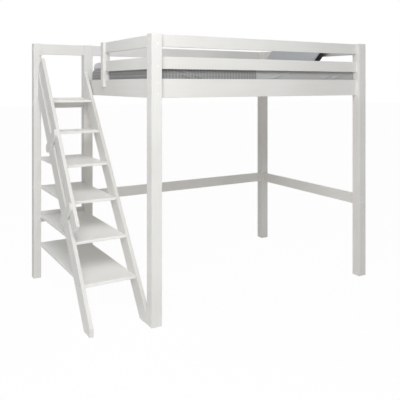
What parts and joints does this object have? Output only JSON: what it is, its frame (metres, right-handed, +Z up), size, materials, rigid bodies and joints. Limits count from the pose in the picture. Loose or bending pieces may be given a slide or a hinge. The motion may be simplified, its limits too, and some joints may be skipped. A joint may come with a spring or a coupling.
{
  "type": "loft bed",
  "caption": "High wooden loft bed with a shelf stair and sloping handrail at its left end, guard rails round a made-up mattress and open space below.",
  "frame": {"origin": "bottom centre of the whole bed's bounding box, on the floor under the feet", "axes": "+X runs from the stair end to the right end of the bed, +Y runs from the open front to the wall side, +Z is up"},
  "size_m": [2.6186, 1.5256, 2.1054],
  "materials": {
    "white_paint": "satin white paint over solid wood",
    "bare_pine": "planed bare pine",
    "zinc_steel": "bright zinc plated",
    "nut_brass": "turned brass",
    "cap_plastic": "matt white",
    "tape_fabric": "woven polyester tape",
    "sheet_fabric": "plain light grey cotton sheet",
    "check_fabric": "dark grey fine woven check",
    "duvet_fabric": "pale lavender cotton",
    "pillow_blue_fabric": "blue-grey cotton",
    "pillow_dark_fabric": "near-black cotton"
  },
  "bodies": {
    "frame": {"post_front_left": "white_paint", "post_front_right": "white_paint", "post_back_left": "white_paint", "post_back_right": "white_paint", "post_stair": "white_paint", "side_rail_front": "white_paint", "side_rail_back": "white_paint", "end_rail_left": "white_paint", "end_rail_right": "white_paint", "guard_front_lower": "white_paint", "guard_front_upper": "white_paint", "guard_end_lower": "white_paint", "guard_end_upper": "white_paint", "entry_upright": "white_paint", "top_rail_back": "white_paint", "top_rail_right": "white_paint", "top_rail_stair": "white_paint", "stretcher_back": "white_paint", "stretcher_right": "white_paint", "stair_rail_high": "white_paint", "stair_rail_low": "white_paint", "stringer_left": "white_paint", "stringer_right": "white_paint", "tread_1": "white_paint", "tread_2": "white_paint", "tread_3": "white_paint", "tread_4": "white_paint", "tread_5": "white_paint", "tread_6": "white_paint", "handrail": "white_paint", "bracket_high": "white_paint", "bracket_low": "white_paint", "ledge_front": "bare_pine", "ledge_back": "bare_pine", "centre_beam": "bare_pine", "beam_shoes": "zinc_steel", "post_bolts": "zinc_steel", "stair_bolts_short": "zinc_steel", "through_studs": "zinc_steel", "cross_nuts": "nut_brass", "cover_caps": "cap_plastic", "dowels": "bare_pine", "tread_screws": "zinc_steel", "bracket_screws": "zinc_steel", "tongue_screws": "zinc_steel", "ledge_screws": "zinc_steel", "shoe_screws": "zinc_steel"},
    "slat_base": {"slats": "bare_pine", "slat_tapes": "tape_fabric"},
    "mattress_set": {"mattress": "sheet_fabric", "blanket": "check_fabric"},
    "duvet_body": {"duvet": "duvet_fabric"},
    "pillow_front_body": {"pillow_front": "pillow_blue_fabric"},
    "pillow_back_body": {"pillow_back": "pillow_dark_fabric"}
  },
  "joints": [
    {"name": "slat_lift", "type": "slide", "parent": "frame", "child": "slat_base", "axis": [0, 0, 1], "range_m": [0, 0.3]},
    {"name": "mattress_lift", "type": "slide", "parent": "slat_base", "child": "mattress_set", "axis": [0, 0, 1], "range_m": [0, 0.3]},
    {"name": "duvet_lift", "type": "slide", "parent": "mattress_set", "child": "duvet_body", "axis": [0, 0, 1], "range_m": [0, 0.3]},
    {"name": "pillow_back_lift", "type": "slide", "parent": "mattress_set", "child": "pillow_back_body", "axis": [0, 0, 1], "range_m": [0, 0.3]},
    {"name": "pillow_front_lift", "type": "slide", "parent": "pillow_back_body", "child": "pillow_front_body", "axis": [0, 0, 1], "range_m": [0, 0.3]}
  ]
}
